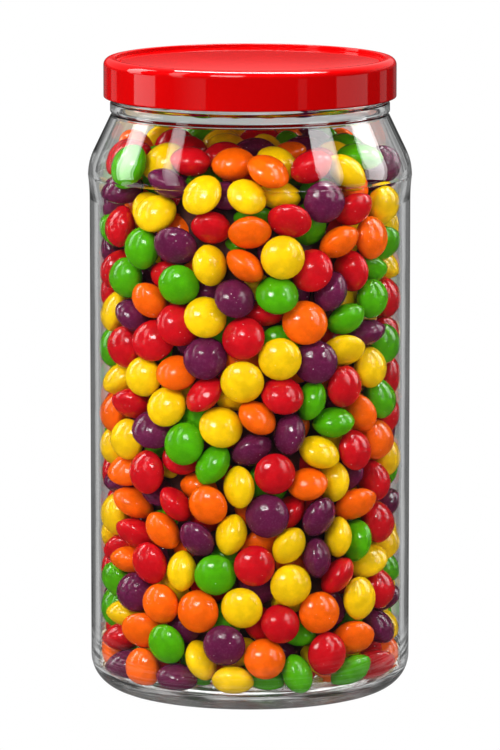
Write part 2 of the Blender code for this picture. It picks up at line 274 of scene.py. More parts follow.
def held_straight(profile, longest=0.003, support=0.00012):
    """The profile with a point near both ends of each long run, which keeps its shading flat."""
    held = [profile[0]]
    for (start_r, start_z), (end_r, end_z) in zip(profile, profile[1:]):
        run = math.hypot(end_r - start_r, end_z - start_z)
        if run > longest:
            for share in (support / run, 1 - support / run):
                across, up = share * (end_r - start_r), share * (end_z - start_z)
                held.append((start_r + across, start_z + up))
        held.append((end_r, end_z))
    return held


def turned_mesh(name, profile, segments, sharp_degrees=40.0):
    """A closed solid of revolution. The profile (r, z) starts and ends on the axis."""
    profile = held_straight(profile)
    work = bmesh.new()
    verts = [work.verts.new((radius, 0.0, height)) for radius, height in profile]
    edges = [work.edges.new(pair) for pair in zip(verts, verts[1:])]
    bmesh.ops.spin(
        work,
        geom=verts + edges,
        cent=(0.0, 0.0, 0.0),
        axis=(0.0, 0.0, 1.0),
        angle=2.0 * math.pi,
        steps=segments,
        use_merge=True,
    )
    bmesh.ops.remove_doubles(work, verts=work.verts, dist=1e-6)
    bmesh.ops.recalc_face_normals(work, faces=work.faces)
    mesh = bpy.data.meshes.new(name)
    work.to_mesh(mesh)
    work.free()
    mesh.shade_smooth()
    mesh.set_sharp_from_angle(angle=math.radians(sharp_degrees))
    return mesh


def node_group(name, inputs, outputs):
    """A shader node group with sockets (name, type, default), what it is given, and its output."""
    group = bpy.data.node_groups.new(name, "ShaderNodeTree")
    for socket_name, kind, default in inputs:
        socket = group.interface.new_socket(socket_name, in_out="INPUT", socket_type=kind)
        socket.default_value = default
    for socket_name, kind in outputs:
        group.interface.new_socket(socket_name, in_out="OUTPUT", socket_type=kind)
    given = group.nodes.new("NodeGroupInput").outputs
    return group, given, group.nodes.new("NodeGroupOutput")


def fill(node, values):
    """Fills a node's sockets with constants, or with outputs to link."""
    for key, value in values.items():
        if isinstance(value, bpy.types.NodeSocket):
            node.id_data.links.new(value, node.inputs[key])
        else:
            node.inputs[key].default_value = value


def put(tree, kind, values=None, **settings):
    """A new node with its settings, and values for its sockets."""
    node = tree.nodes.new(kind)
    for key, value in settings.items():
        setattr(node, key, value)
    fill(node, values or {})
    return node


def math_node(tree, operation, first, second=0.0, third=0.0):
    values = {0: first, 1: second}
    if operation in {"MULTIPLY_ADD", "COMPARE"}:
        values[2] = third
    return put(tree, "ShaderNodeMath", values, operation=operation).outputs[0]


def times(tree, first, second):
    return math_node(tree, "MULTIPLY", first, second)


def mix_number(tree, amount, first, second):
    return put(tree, "ShaderNodeMix", {"Factor": amount, 2: first, 3: second}).outputs[0]


def mix_colour(tree, amount, first, second):
    values = {"Factor": amount, 6: first, 7: second}
    node = put(tree, "ShaderNodeMix", values, data_type="RGBA", blend_type="MIX")
    return node.outputs[2]


def vector_node(tree, operation, values):
    """The outputs of a vector node: the vector itself, and its value."""
    return put(tree, "ShaderNodeVectorMath", values, operation=operation).outputs


def texture(tree, kind, place, scale, w=None, **values):
    """The outputs of a Noise or Voronoi texture, in four dimensions where w is given."""
    sockets = {"Vector": place, "Scale": scale, **values}
    settings = {}
    if w is not None:
        sockets["W"] = w
        settings[kind.lower() + "_dimensions"] = "4D"
    return put(tree, "ShaderNodeTex" + kind, sockets, **settings).outputs


def object_place(tree):
    return put(tree, "ShaderNodeTexCoord").outputs["Object"]


def split(tree, place):
    return put(tree, "ShaderNodeSeparateXYZ", {0: place}).outputs


def flat_part(tree, parts):
    """The vector of a split place without its height."""
    return put(tree, "ShaderNodeCombineXYZ", {0: parts["X"], 1: parts["Y"]}).outputs[0]


def turned_place(tree, place, scale):
    """A place drawn to a circle round the axis, for patterns that only change round it."""
    turned = vector_node(tree, "NORMALIZE", {0: place})[0]
    return vector_node(tree, "SCALE", {0: turned, "Scale": scale})[0]


def bump_normal(tree, strength, distance, **values):
    """The normal of a bump over a Height and, where it is given, an earlier Normal."""
    sockets = {"Strength": strength, "Distance": distance, **values}
    return put(tree, "ShaderNodeBump", sockets).outputs[0]


def group_node(tree, name, values=None):
    return put(tree, "ShaderNodeGroup", values, node_tree=shared_group(name)).outputs


def band(tree, value, low, high, out_low=0.0, out_high=1.0):
    """The value mapped smoothly from low..high to out_low..out_high."""
    values = {0: value, 1: low, 2: high, 3: out_low, 4: out_high}
    node = put(tree, "ShaderNodeMapRange", values, interpolation_type="SMOOTHSTEP")
    return node.outputs[0]


def sugar_coat_group():
    """Polished sugar shell: soft mottling, pale flecks that are in part painted glints, and fine
    dimples that break its gloss.
    """
    inputs = [
        ("Colour", "NodeSocketColor", (0.5, 0.5, 0.5, 1.0)),
        ("Shade Colour", "NodeSocketColor", (0.3, 0.3, 0.3, 1.0)),
        ("Bloom Colour", "NodeSocketColor", (0.9, 0.9, 0.9, 1.0)),
        ("Bloom", "NodeSocketFloat", 0.1),
        ("Specks", "NodeSocketFloat", 0.5),
        ("Dimples", "NodeSocketFloat", 0.5),
    ]
    outputs = [
        ("Colour", "NodeSocketColor"),
        ("Roughness", "NodeSocketFloat"),
        ("Height", "NodeSocketFloat"),
    ]
    group, given, result = node_group("Sugar Coat", inputs, outputs)
    place = object_place(group)
    tone = put(group, "ShaderNodeAttribute", attribute_name="tone").outputs["Fac"]
    offset = times(group, tone, 40.0)
    cloud = texture(group, "Noise", place, 260.0, offset, Detail=3.0, Roughness=0.55)[0]
    grain = texture(group, "Noise", place, 1500.0, offset, Detail=4.0, Roughness=0.6)[0]
    dimples = texture(group, "Voronoi", place, 620.0, offset)["Distance"]
    spots = texture(group, "Voronoi", place, 900.0, offset)["Distance"]
    patches = band(group, cloud, 0.36, 0.66)
    shaded = mix_colour(group, patches, given["Shade Colour"], given["Colour"])
    bloom = times(group, band(group, grain, 0.46, 0.72), given["Bloom"])
    bloomed = mix_colour(group, bloom, shaded, given["Bloom Colour"])
    # Pale flecks at random: in part the coat's own, in part painted glints off the dimples.
    speck_glint_mask = band(group, spots, 0.16, 0.08)
    rare = band(group, cloud, 0.47, 0.60)
    speck_glint = times(group, speck_glint_mask, rare)
    speck_glint = times(group, speck_glint, given["Specks"])
    speck_glinted = mix_colour(group, speck_glint, bloomed, (0.90, 0.88, 0.86, 1.0))
    rough = math_node(group, "MULTIPLY_ADD", grain, 0.10, 0.06)
    height = math_node(group, "MULTIPLY_ADD", dimples, 0.8, times(group, grain, 0.15))
    height = times(group, height, given["Dimples"])
    fill(result, {"Colour": speck_glinted, "Roughness": rough, "Height": height})
    return group


def streaks_group():
    """Streaks that run round the thick glass at the foot of the jar, where it set unevenly."""
    inputs = [
        ("Height Limit", "NodeSocketFloat", 0.0052),
        ("Scale", "NodeSocketFloat", 1000.0),
        ("Round Scale", "NodeSocketFloat", 1.6),
    ]
    group, given, result = node_group("Base Streaks", inputs, [("Height", "NodeSocketFloat")])
    place = object_place(group)
    parts = split(group, place)
    flat = flat_part(group, parts)
    radius = vector_node(group, "LENGTH", {0: flat})["Value"]
    turned = turned_place(group, flat, given["Round Scale"])
    rings = math_node(group, "ADD", radius, parts["Z"])
    rings = times(group, rings, given["Scale"])
    streak = texture(group, "Noise", turned, 1.0, rings, Detail=2.0, Roughness=0.6)[0]
    low = math_node(group, "DIVIDE", parts["Z"], given["Height Limit"])
    mask = band(group, low, 1.0, 0.6)
    ripple = math_node(group, "SINE", times(group, rings, 4.5))
    uneven = math_node(group, "MULTIPLY_ADD", ripple, 0.09, streak)
    height = times(group, math_node(group, "SUBTRACT", uneven, 0.5), mask)
    fill(result, {"Height": height})
    return group


def moulded_group():
    """Moulded surface: slight waves and fine scuffs, used by the lid and the glass."""
    inputs = [
        ("Wave Scale", "NodeSocketFloat", 60.0),
        ("Wave", "NodeSocketFloat", 0.5),
        ("Scuff Scale", "NodeSocketFloat", 900.0),
        ("Scuffs", "NodeSocketFloat", 0.2),
        ("Roughness", "NodeSocketFloat", 0.2),
    ]
    outputs = [("Roughness", "NodeSocketFloat"), ("Height", "NodeSocketFloat")]
    group, given, result = node_group("Moulded Surface", inputs, outputs)
    place = object_place(group)
    wave = texture(group, "Noise", place, given["Wave Scale"], Detail=1.5)[0]
    scuff = texture(group, "Noise", place, given["Scuff Scale"], Detail=4.0)[0]
    scuff_mask = band(group, scuff, 0.52, 0.75)
    rough = times(group, scuff_mask, given["Scuffs"])
    rough = math_node(group, "ADD", rough, given["Roughness"])
    height = times(group, wave, given["Wave"])
    fill(result, {"Roughness": rough, "Height": height})
    return group


def shared_group(name):
    makers = {
        "Sugar Coat": sugar_coat_group,
        "Base Streaks": streaks_group,
        "Moulded Surface": moulded_group,
    }
    return bpy.data.node_groups.get(name) or makers[name]()


def new_material(name):
    """A node material, its tree, its Principled shader and its output."""
    material = bpy.data.materials.new(name)
    material.use_nodes = True
    tree = material.node_tree
    return material, tree, tree.nodes["Principled BSDF"], tree.nodes["Material Output"]


def coat_material(name, base):
    material, tree, shader, _ = new_material(name + " sugar coat")
    # The strength of the pale flecks, which also paint glints of light.
    bloom, bloom_amount, specks_and_glints, dimples = BLOOMS[name]
    values = {
        "Colour": (*base, 1.0),
        "Shade Colour": (*(0.80 * channel for channel in base), 1.0),
        "Bloom Colour": (*bloom, 1.0),
        "Bloom": bloom_amount,
        "Specks": specks_and_glints,
        "Dimples": dimples,
    }
    coat = group_node(tree, "Sugar Coat", values)
    bump = bump_normal(tree, 0.5, 0.00020, Height=coat["Height"])
    fill(shader, {"Base Color": coat["Colour"], "Roughness": coat["Roughness"], "Normal": bump})
    fill(shader, {"Specular IOR Level": 0.5})
    return material


def core_material():
    """Deep shade between the sweets, with a dull glow of the coats that surround it."""
    material, tree, shader, _ = new_material("shade between sweets")
    cloud = texture(tree, "Noise", object_place(tree), 130.0, Detail=2.0)[0]
    patches = band(tree, cloud, 0.35, 0.65)
    tint = mix_colour(tree, patches, (0.020, 0.002, 0.003, 1.0), (0.075, 0.008, 0.004, 1.0))
    fill(shader, {"Base Color": tint, "Roughness": 0.7})
    return material


def glass_material(tint):
    """Clear glass. A shadow ray passes straight through, so that the light reaches the sweets."""
    material, tree, shader, output = new_material("clear moulded glass")
    values = {"Wave Scale": 55.0, "Wave": 1.0, "Scuffs": 0.015, "Roughness": 0.0}
    surface = group_node(tree, "Moulded Surface", values)
    waves = bump_normal(tree, 0.10, 0.0004, Height=surface["Height"])
    streaks = group_node(tree, "Base Streaks")
    bump = bump_normal(tree, 1.0, 0.00040, Height=streaks["Height"], Normal=waves)
    fill(shader, {"Base Color": (*tint, 1.0), "IOR": 1.5, "Transmission Weight": 1.0})
    fill(shader, {"Roughness": surface["Roughness"], "Normal": bump})
    clear = put(tree, "ShaderNodeBsdfTransparent", {"Color": (0.97, 0.97, 0.97, 1.0)})
    shadow = put(tree, "ShaderNodeLightPath").outputs["Is Shadow Ray"]
    mixed = {0: shadow, 1: shader.outputs[0], 2: clear.outputs[0]}
    fill(output, {"Surface": put(tree, "ShaderNodeMixShader", mixed).outputs[0]})
    return material


def lid_material(base):
    material, tree, shader, _ = new_material("glossy red plastic")
    values = {"Wave Scale": 90.0, "Wave": 1.0, "Scuffs": 0.06, "Roughness": 0.05}
    surface = group_node(tree, "Moulded Surface", values)
    cloud = texture(tree, "Noise", object_place(tree), 25.0, Detail=2.0)[0]
    patches = band(tree, cloud, 0.35, 0.65)
    darker = tuple(0.90 * channel for channel in base)
    tone = mix_colour(tree, patches, (*darker, 1.0), (*base, 1.0))
    bump = bump_normal(tree, 0.02, 0.0003, Height=surface["Height"])
    fill(shader, {"Base Color": tone, "Roughness": surface["Roughness"], "Normal": bump})
    fill(shader, {"Specular IOR Level": 0.35})
    return material


def seen_level(tree, outside, inside, through, bounced):
    """The brightness of the stage, white to the camera.

    Its greys are for what the outside of the jar mirrors, for what the glass mirrors inside,
    for what shows straight through it, and for what lights the sweets.
    """
    path = put(tree, "ShaderNodeLightPath").outputs
    seen = math_node(tree, "LESS_THAN", path["Ray Depth"], 0.5)
    spread = math_node(tree, "GREATER_THAN", path["Diffuse Depth"], 0.5)
    reflected = math_node(tree, "GREATER_THAN", path["Glossy Depth"], 0.5)
    not_entered = math_node(tree, "LESS_THAN", path["Transmission Depth"], 0.5)
    from_sweet = math_node(tree, "GREATER_THAN", path["Transmission Depth"], 2.5)
    level = mix_number(tree, reflected, through, inside)
    level = mix_number(tree, times(tree, reflected, from_sweet), level, DARK)
    level = mix_number(tree, times(tree, reflected, not_entered), level, outside)
    level = mix_number(tree, spread, level, bounced)
    return mix_number(tree, seen, level, 1.0)


def floor_material(name, behind):
    """White floor. Round the jar it lights the base glass.

    The floor behind is grey where the inner wall at the jar's edges mirrors it, and brightest
    at its outer part, which shows next to the sweets. The rest is kept dark.
    """
    material, tree, shader, output = new_material(name)
    tree.nodes.remove(shader)
    place = object_place(tree)
    away = vector_node(tree, "LENGTH", {0: place})["Value"]
    near = band(tree, away, 0.14, 0.07)
    if behind:
        parts = split(tree, place)
        depth = math_node(tree, "MAXIMUM", parts["Y"], 0.01)
        aside = math_node(tree, "DIVIDE", math_node(tree, "ABSOLUTE", parts["X"]), depth)
        bent = math_node(tree, "SUBTRACT", aside, math_node(tree, "DIVIDE", JAR_BOX[1][0], depth))
        edge = band(tree, bent, 0.90, 0.75, 0.0, 0.62)
        inner = band(tree, bent, 0.41, 0.51, 0.36, 1.0)
        inside = math_node(tree, "MULTIPLY_ADD", edge, inner, DARK)
        outside = band(tree, aside, 0.62, 0.40, DARK, 0.12)
    else:
        inside, outside = DARK, DARK
    turned = turned_place(tree, place, 1.6)
    rings = times(tree, away, 260.0)
    streak = texture(tree, "Noise", turned, 1.0, rings, Detail=2.0)[0]
    streak = band(tree, streak, 0.45, 0.55, 0.03, 1.50)
    inside = mix_number(tree, near, inside, times(tree, streak, 0.50))
    outside = mix_number(tree, near, outside, 0.20)
    through = mix_number(tree, near, 0.50, times(tree, streak, 1.10))
    level = seen_level(tree, outside, inside, through, bounced=0.65)
    glow = put(tree, "ShaderNodeEmission", {"Color": WHITE, "Strength": level})
    fill(output, {"Surface": glow.outputs[0]})
    return material


def jar_profile(jar):
    """The jar's section (r, z), from the middle of its floor over the rim to its base's middle."""
    inner_radius = jar.body_radius - jar.wall
    inner_heel = (inner_radius - jar.inner_heel_radius, jar.floor + jar.inner_heel_radius)
    slope = math.degrees(jar.shoulder_slope)
    bend = (jar.shoulder_radius - jar.shoulder_bend, jar.shoulder_height)
    inner_bend_radius = jar.shoulder_bend - jar.wall
    heel = (jar.body_radius - jar.heel_radius, jar.heel_radius)
    bearing_inner = heel[0] - jar.bearing_width
    rim, bead, throat, ridge = RIM_ROUNDING, BEAD_ROUNDING, THROAT_ROUNDING, RIDGE_ROUNDING

    profile = [(0.0, jar.floor + jar.floor_rise)]
    profile.append((0.5 * inner_heel[0], jar.floor + 0.7 * jar.floor_rise))
    profile += arc(inner_heel, jar.inner_heel_radius, -90, 0, 10)
    profile += [(inner_radius, height) for height in (*BODY_RINGS, jar.flare_start)]
    profile += arc(bend, inner_bend_radius, 2, slope, 8)
    profile += arc((jar.bore_radius + throat, jar.notch_height + THROAT_LIFT), throat, 204, 180, 4)
    profile.append((jar.bore_radius, jar.rim_height - 2 * rim))
    profile += arc((jar.bore_radius + rim, jar.rim_height - rim), rim, 180, 90, 4)
    profile += arc((jar.finish_radius - rim, jar.rim_height - rim), rim, 90, 0, 4)
    thread_top = jar.rim_height - RINGS_BELOW_RIM
    thread_bottom = jar.bead_top + RINGS_ABOVE_BEAD
    for step in range(THREAD_RINGS + 1):
        height = thread_top + (thread_bottom - thread_top) * step / THREAD_RINGS
        profile.append((jar.finish_radius, height))
    profile.append((jar.finish_radius, jar.bead_top + bead))
    profile += arc((jar.bead_radius - bead, jar.bead_top - bead), bead, 80, 0, 4)
    profile += arc((jar.bead_radius - bead, jar.notch_height + 2 * bead), bead, 0, -60, 3)
    profile += arc((jar.notch_radius + bead, jar.notch_height + 0.3 * bead), bead, 170, 250, 3)
    foot = (bend[0] - 0.00005, bend[1])
    profile += arc(foot, jar.shoulder_bend, slope, 2.5, 10)
    profile += arc((jar.shoulder_radius - ridge, jar.shoulder_height), ridge, 62, -18, 5)
    flare = jar.shoulder_radius - jar.body_radius
    for step in range(1, 8):
        share = step / 8
        height = jar.shoulder_height + (jar.flare_start - jar.shoulder_height) * share
        profile.append((jar.body_radius + flare * (1 - share) ** 2, height))
    profile += [(jar.body_radius, height) for height in (jar.flare_start, *BODY_RINGS[::-1])]
    profile += arc(heel, jar.heel_radius, 0, -90, 14)
    profile.append((bearing_inner, 0.0))
    profile += arc((bearing_inner - HOLLOW_INWARDS, -HOLLOW_DOWN), HOLLOW_ROUNDING, 37, 75, 4)
    profile.append((0.5 * bearing_inner, 0.92 * jar.push_up))
    profile.append((0.0, jar.push_up))
    return profile


def add_thread(mesh, jar):
    """Raises a thread of a little over one turn on the neck, run out smoothly at both ends."""
    top = jar.rim_height - THREAD_DROP
    for vert in mesh.vertices:
        radius = math.hypot(vert.co.x, vert.co.y)
        if abs(radius - jar.finish_radius) > 1e-5:
            continue
        turn = math.atan2(vert.co.y, vert.co.x) / (2 * math.pi) + 0.5
        lift = 0.0
        for start in (0.0, 1.0):
            along = turn + start
            centre = top - jar.thread_pitch * along
            ends = min(1.0, along / THREAD_END, (THREAD_TURNS - along) / THREAD_END)
            if ends > 0:
                across = (vert.co.z - centre) / THREAD_HALF_WIDTH
                lift = max(lift, ends * math.exp(-across * across))
        stretch = 1 + jar.thread_depth * lift / radius
        vert.co.x *= stretch
        vert.co.y *= stretch


def lid_profile(lid):
    """The lid's section (r, z), from its panel's middle round the skirt to the liner's middle."""
    panel_height = lid.top - lid.recess
    rim_inner = lid.radius - lid.rim_width
    edge = (lid.radius - lid.edge_rounding, lid.top - lid.edge_rounding)
    inner_radius = lid.radius - lid.wall
    panel_radius = rim_inner - PANEL_MARGIN
    groove_height = panel_height - PANEL_GROOVE
    fillet, bend = LID_FILLET, CRISP_BEND

    profile = []
    for step in range(8):
        share = step / 8
        profile.append((share * panel_radius, panel_height + PANEL_DOME * (1 - share * share)))
    profile += arc((panel_radius, panel_height - bend), bend, 85, 10, 3)
    profile.append((panel_radius + 0.0003, groove_height))
    profile.append((rim_inner - bend, groove_height))
    wall_foot = groove_height + 0.0001
    wall_head = lid.top - bend
    for height in (wall_foot, wall_foot + 0.0001, wall_head - 0.0001):
        profile.append((rim_inner, height))
    profile += arc((rim_inner + bend, wall_head), bend, 180, 90, 3)
    profile += arc(edge, lid.edge_rounding, 90, 0, 12)
    profile += arc((lid.radius - fillet, lid.bottom + fillet), fillet, 0, -90, 4)
    profile += arc((inner_radius + fillet, lid.bottom + fillet), fillet, -90, -180, 3)
    profile.append((inner_radius, panel_height - lid.panel))
    profile.append((0.0, panel_height - lid.panel))
    return profile


def support(normals, axes, radii, halves):
    """How far spheroids reach along the normals, and the points where they reach furthest."""
    bulge = radii**2 - halves**2
    lean = np.sum(normals * axes, axis=1)
    reach = np.sqrt(radii**2 - bulge * lean**2)
    points = (radii**2)[:, None] * normals - (bulge * lean)[:, None] * axes
    return reach, points / reach[:, None]


def unit(vectors):
    return vectors / np.linalg.norm(vectors, axis=1)[:, None]


def leverage(points, pushes, inertia):
    """How a push at a point turns each sweet, and how readily the sweet gives way to it."""
    twist = np.cross(points, pushes)
    return twist, 1 + np.sum(twist**2, axis=1) / inertia


def summed(values, sweets, count):
    """Values of pairs, summed for each of the sweets."""
    return np.stack([np.bincount(sweets, column, count) for column in values.T], axis=1)


def rounded(settings, *names, decimals=MICRON):
    """Settings without the last digits that Blender's single precision adds to them."""
    return [round(getattr(settings, name), decimals) for name in names]


def glass_planes(jar, sweet):
    """The inside of the jar as planes (normal r, normal z, distance) round the axis."""
    body_radius, wall, floor, rounding = rounded(
        jar, "body_radius", "wall", "floor", "inner_heel_radius"
    )
    shoulder_radius, shoulder_bend, shoulder_height = rounded(
        jar, "shoulder_radius", "shoulder_bend", "shoulder_height"
    )
    inner_radius = body_radius - wall
    slope = math.radians(round(math.degrees(jar.shoulder_slope), 3))
    slope_r, slope_z = math.cos(slope), math.sin(slope)
    slope_distance = slope_r * (shoulder_radius - shoulder_bend) + slope_z * shoulder_height
    slope_distance += shoulder_bend - wall
    planes = [
        (1.0, 0.0, inner_radius),
        (0.0, -1.0, -floor),
        (0.0, 1.0, *rounded(sweet, "heap_top")),
        (slope_r, slope_z, slope_distance),
    ]
    heel_r, heel_z = inner_radius - rounding, floor + rounding
    for degrees in (22.5, 45.0, 67.5):
        along_r, along_z = math.cos(math.radians(degrees)), -math.sin(math.radians(degrees))
        planes.append((along_r, along_z, along_r * heel_r + along_z * heel_z + rounding))
    return planes


def push_off_glass(centres, axes, radii, halves, planes, gap):
    """Centres and axes after each sweet that crosses a plane is moved and turned back to it."""
    inertia = (radii**2 + halves**2) / 5
    for along_r, along_z, distance in planes:
        outward = centres * (1, 1, 0)
        outward /= np.linalg.norm(outward, axis=1)[:, None] + 1e-9
        normal = outward * along_r + (0, 0, along_z)
        reach, point = support(normal, axes, radii, halves)
        depth = np.maximum(np.sum(normal * centres, axis=1) + reach - distance + gap, 0)
        twist, give = leverage(point, normal, inertia)
        amount = (depth / give)[:, None]
        centres = centres - amount * normal
        axes = unit(axes - np.cross(amount * twist / inertia[:, None], axes))
    return centres, axes


def touching_pairs(centres, axes, radii, halves, first, second, normals, passes, width):
    """Overlap, direction and touching points of each pair, the direction improved by passes."""
    between = centres[second] - centres[first]
    for turn in range(passes + 1):
        reach_a, point_a = support(normals, axes[first], radii[first], halves[first])
        reach_b, point_b = support(normals, axes[second], radii[second], halves[second])
        if turn == passes:
            break
        offset = between - point_a - point_b
        offset -= np.sum(offset * normals, axis=1)[:, None] * normals
        normals = unit(normals + offset / width)
    overlap = reach_a + reach_b - np.sum(normals * between, axis=1)
    return overlap, normals, point_a, -point_b


def settle_sweets(jar, sweet):
    """Centres, short axes, radii and half thicknesses of the sweets as they lie in the jar.

    They start spread evenly through the jar. Each step moves and turns apart those that overlap
    one another or the glass, while all of them sink a little.
    """
    rng = np.random.default_rng(sweet.seed)
    count = sweet.count
    radius, half, high, gap = rounded(sweet, "radius", "half_thickness", "heap_top", "glass_gap")
    body_radius, wall, low = rounded(jar, "body_radius", "wall", "floor")
    radius_spread, half_spread, pace = rounded(
        sweet, "radius_spread", "thickness_spread", "pace", decimals=3
    )
    first_sinking, last_sinking = rounded(sweet, "first_sinking", "last_sinking", decimals=7)
    radii = radius * (1 + radius_spread * rng.standard_normal(count).clip(-2, 2))
    halves = half * (1 + half_spread * rng.standard_normal(count).clip(-2, 2))
    inertia = (radii**2 + halves**2) / 5
    spread = (body_radius - wall - radius) * np.sqrt(rng.random(count))
    turn = 2 * np.pi * rng.random(count)
    height = low + radius + (high - low - 2 * radius) * rng.random(count)
    centres = np.stack([spread * np.cos(turn), spread * np.sin(turn), height], axis=1)
    bias = rounded(sweet, "outward_bias", "around_bias", "up_bias", decimals=3)
    outward, around, up = (rng.standard_normal((count, 3)) * bias).T
    along_x = outward * np.cos(turn) - around * np.sin(turn)
    along_y = outward * np.sin(turn) + around * np.cos(turn)
    axes = unit(np.stack([along_x, along_y, up], axis=1))
    planes = glass_planes(jar, sweet)
    for step in range(sweet.steps):
        fading = max(0.0, 1 - step / (0.6 * sweet.steps))
        centres[:, 2] -= first_sinking * fading + last_sinking
        passes = 2
        if step % SEARCH_EVERY == 0:
            apart = np.linalg.norm(centres[:, None, :] - centres[None, :, :], axis=2)
            first, second = np.where(np.triu(apart < NEAR * radius, 1))
            normals = (centres[second] - centres[first]) / apart[first, second][:, None]
            passes = 5
        pairs = touching_pairs(
            centres, axes, radii, halves, first, second, normals, passes, 2 * radius
        )
        overlap, normals, point_a, point_b = pairs
        touching = overlap > 0
        a, b, push = first[touching], second[touching], normals[touching]
        twist_a, give_a = leverage(point_a[touching], push, inertia[a])
        twist_b, give_b = leverage(point_b[touching], push, inertia[b])
        amount = (pace * overlap[touching] / (give_a + give_b))[:, None]
        centres += summed(amount * push, b, count) - summed(amount * push, a, count)
        spin = summed(amount * twist_b / inertia[b][:, None], b, count)
        spin -= summed(amount * twist_a / inertia[a][:, None], a, count)
        axes = unit(axes + np.cross(spin, axes))
        centres, axes = push_off_glass(centres, axes, radii, halves, planes, gap)
        centres = np.round(centres, 7)
        axes = np.round(axes, 6)
    for _ in range(LAST_PUSHES):
        centres, axes = push_off_glass(centres, axes, radii, halves, planes, gap)
    return centres, axes, radii, halves


def mix_colours(centres, sweet):
    """A coat for each sweet by the coats' shares, each unlike the sweets right beside it."""
    rng = np.random.default_rng(sweet.seed + 1)
    shares = np.array(rounded(sweet, *(name + "_share" for name in COATS), decimals=3))
    (radius,) = rounded(sweet, "radius")
    coats = np.full(len(centres), -1)
    for index in rng.permutation(len(centres)):
        apart = np.linalg.norm(centres - centres[index], axis=1)
        beside = coats[(apart < BESIDE * radius) & (coats >= 0)]
        crowding = np.bincount(beside, minlength=len(COATS))
        chance = shares * SAME_COAT**crowding
        coats[index] = rng.choice(len(COATS), p=chance / chance.sum())
    return coats


def points_mesh(name, centres, axes, radii, halves):
    """Points with the axis, size and tone that the sweets are made from."""
    mesh = bpy.data.meshes.new(name)
    mesh.from_pydata([tuple(centre) for centre in centres], [], [])
    sizes = np.stack([radii, radii, halves], axis=1)
    for attribute, values in (("axis", axes), ("size", sizes)):
        layer = mesh.attributes.new(attribute, "FLOAT_VECTOR", "POINT")
        layer.data.foreach_set("vector", values.astype(np.float32).ravel())
    tones = np.random.default_rng(len(centres)).random(len(centres))
    layer = mesh.attributes.new("tone", "FLOAT", "POINT")
    layer.data.foreach_set("value", tones.astype(np.float32))
    return mesh


def sweets_tree():
    """Geometry nodes that turn the points into sweets."""
    tree = bpy.data.node_groups.new("Coated Sweets", "GeometryNodeTree")
    sockets = [
        ("Geometry", "NodeSocketGeometry"),
        ("Segments", "NodeSocketInt"),
        ("Rings", "NodeSocketInt"),
        ("Lens", "NodeSocketFloat"),
        ("Unevenness", "NodeSocketFloat"),
        ("Material", "NodeSocketMaterial"),
    ]
    for name, kind in sockets:
        tree.interface.new_socket(name, in_out="INPUT", socket_type=kind)
    tree.interface.new_socket("Geometry", in_out="OUTPUT", socket_type="NodeSocketGeometry")
    given = tree.nodes.new("NodeGroupInput").outputs

    ball = {"Segments": given["Segments"], "Rings": given["Rings"], "Radius": 1.0}
    ball = put(tree, "GeometryNodeMeshUVSphere", ball)
    parts = split(tree, put(tree, "GeometryNodeInputPosition").outputs[0])
    depth = math_node(tree, "ABSOLUTE", parts["Z"])
    depth = math_node(tree, "POWER", depth, math_node(tree, "ADD", given["Lens"], 1.0))
    depth = times(tree, depth, math_node(tree, "SIGN", parts["Z"]))
    domed = {0: parts["X"], 1: parts["Y"], 2: depth}
    domed = put(tree, "ShaderNodeCombineXYZ", domed).outputs[0]
    lens = {"Geometry": ball.outputs["Mesh"], "Position": domed}
    lens = put(tree, "GeometryNodeSetPosition", lens)
    axis, size, tone = (
        put(tree, "GeometryNodeInputNamedAttribute", {"Name": name}, data_type=kind).outputs[0]
        for name, kind in (("axis", "FLOAT_VECTOR"), ("size", "FLOAT_VECTOR"), ("tone", "FLOAT"))
    )
    turn = put(tree, "FunctionNodeAlignRotationToVector", {"Vector": axis}, axis="Z")
    placed = {"Points": given["Geometry"], "Instance": lens.outputs[0]}
    placed.update({"Rotation": turn.outputs[0], "Scale": size})
    placed = put(tree, "GeometryNodeInstanceOnPoints", placed)
    real = put(tree, "GeometryNodeRealizeInstances", {"Geometry": placed.outputs[0]})
    place = put(tree, "GeometryNodeInputPosition").outputs[0]
    dents = texture(tree, "Noise", place, 130.0, times(tree, tone, 60.0), Detail=1.0)[0]
    amount = math_node(tree, "SUBTRACT", dents, 0.85)
    amount = times(tree, amount, given["Unevenness"])
    normal = put(tree, "GeometryNodeInputNormal").outputs[0]
    offset = vector_node(tree, "SCALE", {0: normal, "Scale": amount})[0]
    uneven = {"Geometry": real.outputs[0], "Offset": offset}
    uneven = put(tree, "GeometryNodeSetPosition", uneven)
    smooth = put(tree, "GeometryNodeSetShadeSmooth", {"Geometry": uneven.outputs[0]})
    coated = {"Geometry": smooth.outputs[0], "Material": given["Material"]}
    coated = put(tree, "GeometryNodeSetMaterial", coated)
    put(tree, "NodeGroupOutput", {0: coated.outputs[0]})
    return tree


def realized(source, name):
    """The evaluated result of an object as a plain mesh object of its own."""
    graph = bpy.context.evaluated_depsgraph_get()
    mesh = bpy.data.meshes.new_from_object(source.evaluated_get(graph))
    mesh.name = name
    points = source.data
    bpy.data.objects.remove(source)
    bpy.data.meshes.remove(points)
    return to_object(name, mesh)


